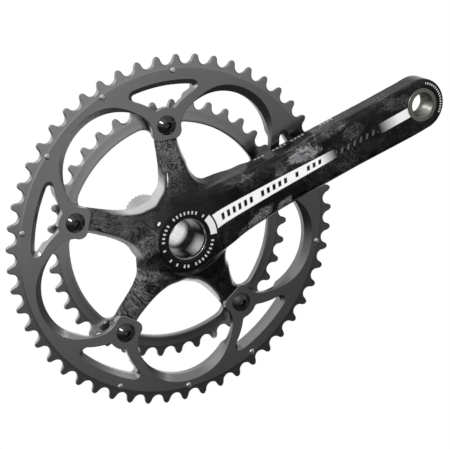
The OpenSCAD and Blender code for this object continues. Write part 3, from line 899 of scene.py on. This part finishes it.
screw = lathe(
    [(0, -12), (5.2, -12)] + wall(5.4, -11.6, 12.6, 0.13) + [(5.4, 14.8), (9.4, 14.8), (9.6, 15), (9.6, 23.1),
     (9.2, 23.6), (8.6, 23.8), (0, 23.8)], 72)
key = loft([hexagon(1.5, 15.8), hexagon(5.8, 16.8), hexagon(5.8, 23.4), hexagon(6.4, 24.2)])
piece("centre_bolt", threaded(screw, 5.4, -11.5, 12.4, 1.0, 0.6), STEEL, ["fixing_bolt"], [[key]])
piece("washer", lathe([(6, 14, 0.1), (9.8, 14, 0.1), (9.8, 14.8, 0.1), (6, 14.8, 0.1)], 72), STEEL,
      ["fixing_bolt_washer"])


def face_grooves(count=30):
    out = []
    for k in range(count):
        points = []
        for r in (7.4, 13.6):
            half = math.pi * r / count
            points += [(r, -half * 1.25, -1.5), (r, half * 1.25, -1.5), (r, 0, 1)]
        faces = [(0, 2, 1), (3, 4, 5), (0, 1, 4, 3), (1, 2, 5, 4), (2, 0, 3, 5)]
        out.append((turned_by(points, k * 2 * math.pi / count), faces))
    return out


piece("axle", lathe([
    (8.5, -1, 0), (12.3, -1, 0), (12.5, -0.6, 0), (12.5, 4, 0), (12.2, 5, 0), (12.2, 37.5, 0), (12.5, 38.5, 0),
    (12.5, 45.5, 0), (15.5, 45.5, 0.2), (15.5, 46.2, 0.2), (12.5, 46.2, 0), (12.5, 60.6, 0), (12.2, 61, 0),
    (11.6, 58, 3), (10.6, 50, 8), (10.6, 23.8, 0), (10.2, 23.4, 0), (10.2, 14, 0),
    (6.3, 14, 0), (6.3, 8, 0), (8.5, 8, 0)], 120),
    AXLE, ["half_axle"], [face_grooves()[0::2], face_grooves()[1::2]])


def race(inner, outer, groove_side):
    half = math.asin(math.sqrt(GROOVE_R ** 2 - 1.2 ** 2) / GROOVE_R)
    a = np.linspace(-half, half, 11)
    groove = [
        (BALL_AT + groove_side * GROOVE_R * math.cos(t), BEARING_MIDDLE + GROOVE_R * math.sin(t)) for t in a]
    low, high = [(outer - 0.3, 38.5), (outer, 38.8)], [(outer, 45.2), (outer - 0.3, 45.5)]
    base, top = [(inner, 38.8), (inner + 0.3, 38.5)], [(inner + 0.3, 45.5), (inner, 45.2)]
    if groove_side > 0:
        return lathe(low + high + top + groove[::-1] + base, 128)
    return lathe(low + groove + high + top + base, 128)


piece("inner_race", race(12.5, 14.3, -1), PIN, ["bearing_inner_race"])
piece("outer_race", race(16.7, 18.5, 1), PIN, ["bearing_outer_race"], body="bearing_housing_side")
for name, low, high in (("outboard", 44.9, 45.4), ("inboard", 39.1, 38.6)):
    middle = low + (high - low) * 0.5
    piece(f"seal_{name}", lathe([
        (14.35, low), (16.7, low), (16.7, high), (16.3, high), (16.1, middle), (15.0, middle), (14.8, high),
        (14.35, high)], 96), SEAL, [f"bearing_seal_{name}"], body="bearing_housing_side")

for node, material in (("bearing_balls", PIN), ("bearing_cage", CAGE), ("arm_thread_insert", STEEL)):
    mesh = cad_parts[node].data
    mesh.materials.clear()
    mesh.materials.append(material)


# ---- Studio ----

def studio():
    world = bpy.data.worlds.new("studio")
    bpy.context.scene.world = world
    world.use_nodes = True
    tree = world.node_tree
    shader = Shader.__new__(Shader)
    shader.tree = tree
    ray = shader.add("TexCoord").outputs["Generated"]
    x, y, z = (Value(shader, o) for o in shader.add("SeparateXYZ", {0: ray}).outputs)
    behind = y.rise(-0.05, 0.35) * (1 - z.rise(0.3, 0.7) * 0.65) * (1 - y.rise(0.75, 0.95) * 0.6)
    front = 0.05 + z.rise(-0.42, -0.08) * (1 - x.rise(0.6, 0.95)) * 0.42
    panel = shader.add("VectorMath", {0: ray, 1: Vector((-0.42, -0.74, 0.52)).normalized()}, operation="DOT_PRODUCT")
    glow = Value(shader, panel.outputs["Value"]).rise(0.86, 0.98) * 0.55
    light = behind * 0.95 + (1 - behind) * (front + glow)
    seen = Value(shader, shader.add("LightPath").outputs["Is Camera Ray"])
    shader.feed(tree.nodes["Background"].inputs["Color"], shader.combine(
        seen.maximum(light), seen.maximum(light), seen.maximum(light)))

    floor_shader = bpy.data.materials.new("floor")
    floor_shader.use_nodes = True
    nodes = floor_shader.node_tree.nodes
    nodes.clear()
    shader.tree = floor_shader.node_tree
    white = shader.add("Emission", {"Color": grey(1), "Strength": 1.0}).outputs[0]
    clear = shader.add("BsdfTransparent").outputs[0]
    camera_ray = shader.add("LightPath").outputs["Is Camera Ray"]
    mixed = shader.add("MixShader", {0: camera_ray, 1: clear, 2: white}).outputs[0]
    shader.feed(shader.add("OutputMaterial").inputs["Surface"], mixed)
    bpy.ops.mesh.primitive_plane_add(size=12, location=(0, 0, -0.6))
    floor = bpy.context.object
    floor.name = "floor"
    floor.data.materials.append(floor_shader)

    for name, direction, size, watts in (
            ("key", (-0.70, -0.555, 0.426), 0.3, 7.0), ("side", (0.719, -0.57, 0.392), 0.08, 0.15)):
        lamp = bpy.data.lights.new(name, "AREA")
        lamp.shape, lamp.size, lamp.energy = "DISK", size, watts
        obj = bpy.data.objects.new(name, lamp)
        bpy.context.scene.collection.objects.link(obj)
        obj.location = Vector(direction) * 1.6
        obj.rotation_euler = Vector(direction).to_track_quat("Z", "Y").to_euler()

    front_light = bpy.data.lights.new("front", "SUN")
    front_light.energy, front_light.angle = 2.2, math.radians(50)
    obj = bpy.data.objects.new("front", front_light)
    bpy.context.scene.collection.objects.link(obj)
    obj.rotation_euler = Vector((-0.45, -0.75, 0.5)).to_track_quat("Z", "Y").to_euler()
    obj.visible_glossy = False


studio()
bpy.context.scene.view_settings.view_transform = "Standard"

lens = bpy.data.cameras.new("camera")
lens.lens, lens.sensor_width = 137.29, 36
camera = bpy.data.objects.new("camera", lens)
bpy.context.scene.collection.objects.link(camera)
camera.location = (-0.4377, -0.9410, 0.2918)
camera.rotation_euler = (math.radians(73.92), 0, math.radians(-27.8))
bpy.context.scene.camera = camera
